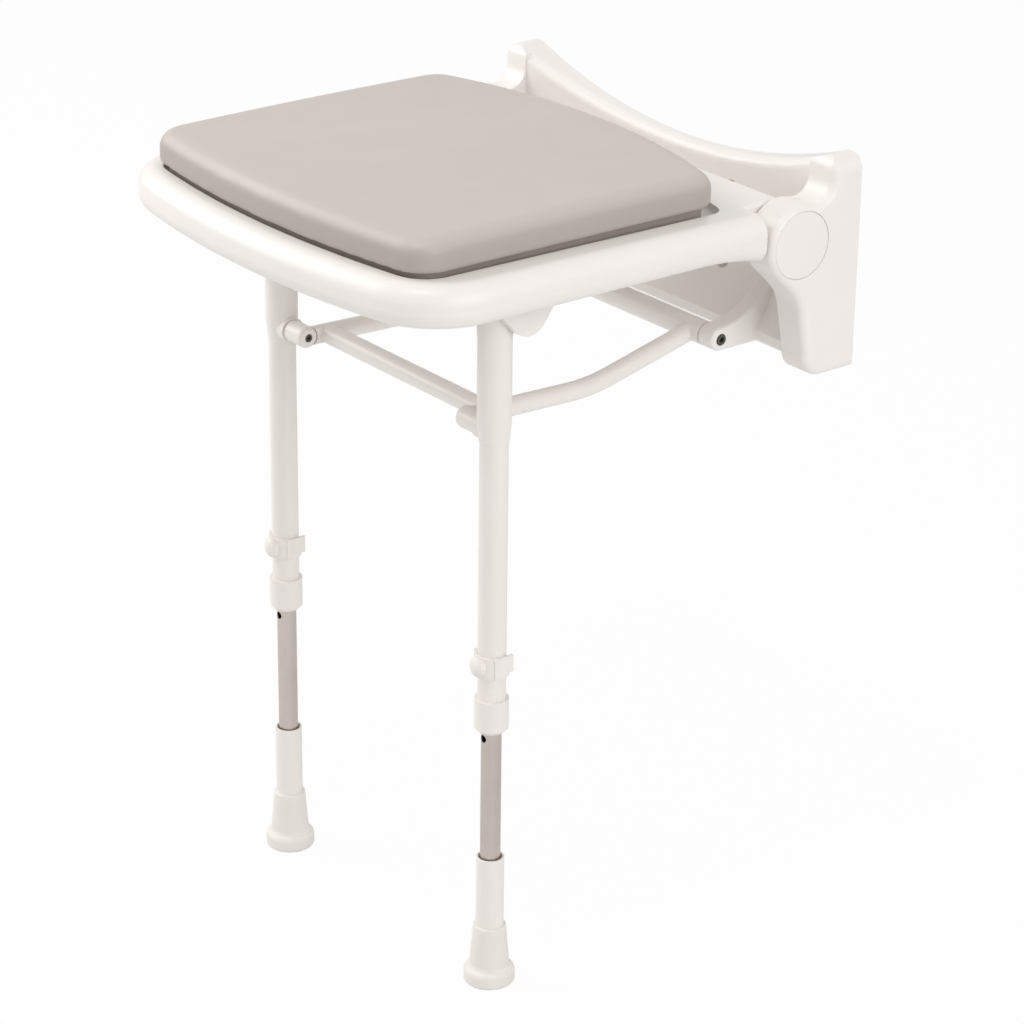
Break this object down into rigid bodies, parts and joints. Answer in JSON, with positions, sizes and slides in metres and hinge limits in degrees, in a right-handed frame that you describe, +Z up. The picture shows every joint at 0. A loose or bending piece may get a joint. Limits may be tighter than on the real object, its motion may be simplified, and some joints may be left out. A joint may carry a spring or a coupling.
{
  "type": "fold down wall seat",
  "caption": "White fold down wall seat with a padded top, height adjustable legs and a tube brace, folding up flat against the wall.",
  "frame": {"origin": "Centre of the wall screw pattern on the flat back of the bracket, on the wall plane.", "axes": "+Y points into the wall, +Z up, +X to the right when facing the wall."},
  "size_m": [0.4082, 0.4315, 0.6445],
  "materials": {
    "white_plastic": "moulded plastic, satin",
    "white_paint": "powder coated tube",
    "white_fitting": "moulded plastic",
    "plain_steel": "turned steel",
    "dark_screw": "dark steel screw",
    "bare_tube": "bare tube",
    "white_rubber": "pale rubber",
    "board_plastic": "flat board",
    "pad_skin": "soft skinned foam, satin"
  },
  "bodies": {
    "bracket": {"wall_bracket": "white_plastic", "hinge_pin_l": "plain_steel", "hinge_pin_r": "plain_steel", "hinge_cap_l": "white_plastic", "hinge_cap_r": "white_plastic", "lug_screw_l": "dark_screw", "lug_screw_r": "dark_screw"},
    "seat": {"seat_shell": "white_plastic", "pad_board": "board_plastic", "pad_screws": "plain_steel", "seat_pad": "pad_skin", "hinge_bush_l": "white_fitting", "hinge_bush_r": "white_fitting", "leg_pin_l": "plain_steel", "leg_pin_r": "plain_steel"},
    "leg_l": {"leg_head_l": "white_fitting", "leg_sleeve_l": "white_paint", "leg_tube_l": "white_paint", "leg_boss_l": "white_fitting", "brace_bolt_l": "dark_screw", "leg_bush_l": "white_fitting"},
    "leg_r": {"leg_head_r": "white_fitting", "leg_sleeve_r": "white_paint", "leg_tube_r": "white_paint", "leg_boss_r": "white_fitting", "brace_bolt_r": "dark_screw", "leg_bush_r": "white_fitting"},
    "brace": {"brace_arm_l": "white_paint", "brace_arm_r": "white_paint", "brace_eye_l": "white_paint", "brace_eye_r": "white_paint", "brace_bush_l": "white_fitting", "brace_bush_r": "white_fitting", "brace_rear_tube": "white_paint", "brace_front_tube": "white_paint"},
    "clip_l": {"height_clip_l": "white_fitting"},
    "clip_r": {"height_clip_r": "white_fitting"},
    "foot_l": {"inner_tube_l": "bare_tube", "guide_plug_l": "white_fitting", "foot_sleeve_l": "white_fitting", "ferrule_l": "white_rubber", "ferrule_disc_l": "plain_steel"},
    "foot_r": {"inner_tube_r": "bare_tube", "guide_plug_r": "white_fitting", "foot_sleeve_r": "white_fitting", "ferrule_r": "white_rubber", "ferrule_disc_r": "plain_steel"}
  },
  "joints": [
    {"name": "seat_fold", "type": "hinge", "parent": "bracket", "child": "seat", "pos_m": [0, -0.058, 0.025], "axis": [-1, 0, 0], "range_deg": [0, 85]},
    {"name": "leg_swing_l", "type": "hinge", "parent": "seat", "child": "leg_l", "pos_m": [-0.139, -0.28, 0.003], "axis": [-1, 0, 0], "range_deg": [-85, 0]},
    {"name": "leg_swing_r", "type": "hinge", "parent": "seat", "child": "leg_r", "pos_m": [0.139, -0.28, 0.003], "axis": [-1, 0, 0], "range_deg": [-85, 0]},
    {"name": "brace_swing", "type": "hinge", "parent": "bracket", "child": "brace", "pos_m": [0, -0.078, -0.066], "axis": [-1, 0, 0], "range_deg": [0, 85]},
    {"name": "foot_slide_l", "type": "slide", "parent": "leg_l", "child": "foot_l", "axis": [0, 0, -1], "range_m": [-0.063, 0.063]},
    {"name": "clip_pull_l", "type": "slide", "parent": "leg_l", "child": "clip_l", "axis": [0, -1, 0], "range_m": [0, 0.032]},
    {"name": "foot_slide_r", "type": "slide", "parent": "leg_r", "child": "foot_r", "axis": [0, 0, -1], "range_m": [-0.063, 0.063]},
    {"name": "clip_pull_r", "type": "slide", "parent": "leg_r", "child": "clip_r", "axis": [0, -1, 0], "range_m": [0, 0.032]}
  ],
  "couplings": [
    {"joint": "leg_swing_l", "follows": "seat_fold", "ratio": -1},
    {"joint": "leg_swing_r", "follows": "seat_fold", "ratio": -1},
    {"joint": "brace_swing", "follows": "seat_fold", "ratio": 1}
  ]
}
